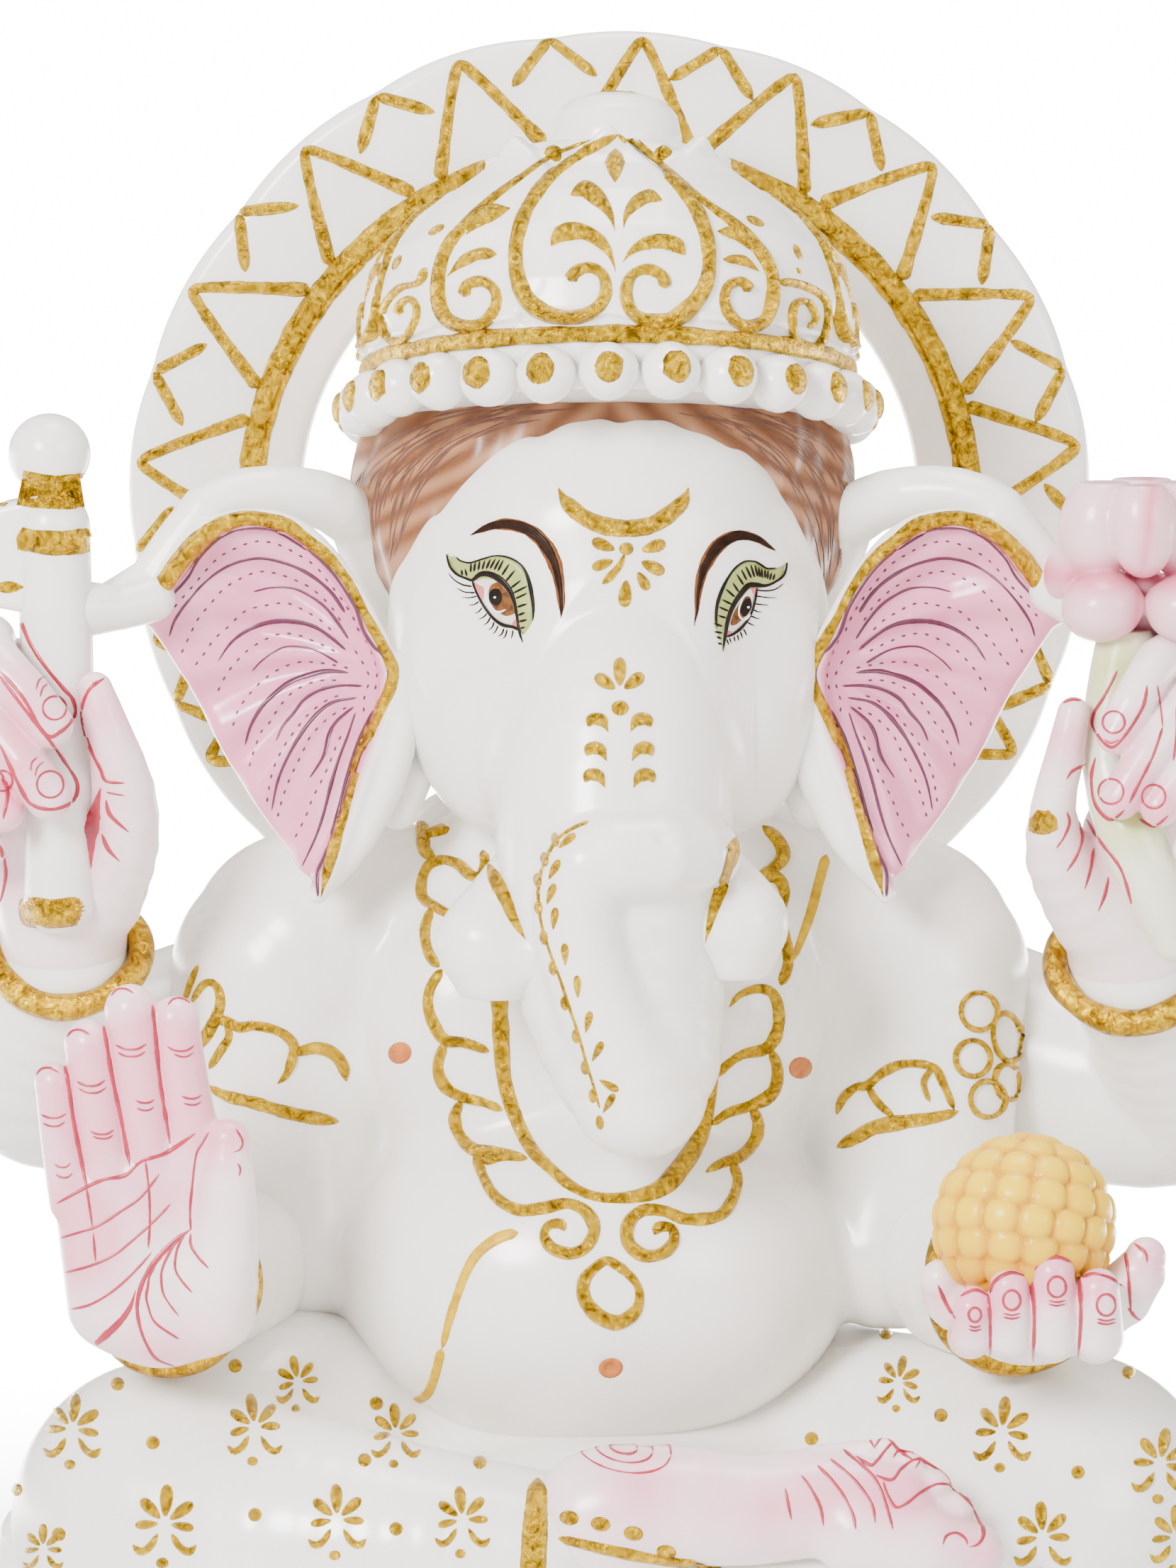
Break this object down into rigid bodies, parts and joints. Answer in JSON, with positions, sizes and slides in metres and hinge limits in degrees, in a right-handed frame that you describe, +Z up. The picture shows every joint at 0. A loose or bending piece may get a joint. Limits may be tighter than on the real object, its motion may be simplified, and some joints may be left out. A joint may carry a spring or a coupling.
{
  "type": "seated elephant-headed deity idol",
  "caption": "Free-standing carved marble idol of a seated four-armed elephant-headed deity with halo, crown, axe, lotus and sweet, with raised gilding.",
  "frame": {"origin": "centre of the plinth's underside", "axes": "+Z up, the figure faces -Y, +X to the viewer's right when facing it"},
  "size_m": [0.359, 0.2205, 0.4505],
  "materials": {
    "marble": "white marble, polished by hand to a soft sheen",
    "rose_painted_marble": "white marble washed with rose paint, crimson lines in the folds",
    "gilding": "gold leaf and gold paint on raised gesso, slightly crinkled",
    "lotus_pink": "white marble painted pink, deeper in the creases",
    "stem_green": "white marble painted leaf green",
    "hair_brown": "white marble painted a thin translucent brown",
    "sweet_yellow": "white marble painted yellow over a bumpy surface",
    "thread_yellow": "line of ochre yellow enamel paint",
    "eye_paint": "brown and black enamel paint",
    "mark_paint": "orange-brown enamel paint"
  },
  "bodies": {
    "root": {"plinth": "marble", "seat_cushion": "marble", "torso": "marble", "lap_dhoti": "marble", "upper_foot": "rose_painted_marble", "lower_foot": "marble", "neck_collar": "marble", "head_and_trunk": "marble", "tusk_left": "marble", "tusk_right": "marble", "ear_left": "rose_painted_marble", "ear_right": "rose_painted_marble", "hair": "hair_brown", "crown_dome": "marble", "crown_shields": "marble", "crown_brim_pearls": "marble", "crown_tier_pearls": "marble", "crown_finial": "marble", "halo_ring": "marble", "halo_bridge": "marble", "axe_arm": "marble", "lotus_arm": "marble", "blessing_arm": "marble", "sweet_arm": "marble", "axe_hand": "rose_painted_marble", "lotus_hand": "rose_painted_marble", "blessing_hand": "rose_painted_marble", "sweet_hand": "rose_painted_marble", "axe_shaft": "marble", "axe_blade": "marble", "lotus_bud": "lotus_pink", "lotus_stem": "stem_green", "sweet": "sweet_yellow", "gold_crown_bands": "gilding", "gold_crown_scrolls": "gilding", "gold_pearl_caps": "gilding", "gold_halo_ring": "gilding", "gold_halo_rays": "gilding", "gold_crescent": "gilding", "gold_brow_flower": "gilding", "gold_trunk_flowers": "gilding", "gold_trunk_vine": "gilding", "gold_tusk_bands": "gilding", "gold_ear_rims": "gilding", "gold_necklace": "gilding", "gold_pendant": "gilding", "gold_armlets": "gilding", "gold_axe_bands": "gilding", "gold_thumb_ring": "gilding", "gold_dhoti_flowers": "gilding", "gold_dhoti_dots": "gilding", "gold_dhoti_hem": "gilding", "bangle_axe": "gilding", "bangle_lotus": "gilding", "bangle_blessing": "gilding", "bangle_sweet": "gilding", "sacred_thread": "thread_yellow", "painted_eyes": "eye_paint", "painted_brows": "eye_paint", "painted_marks": "mark_paint"}
  },
  "joints": []
}
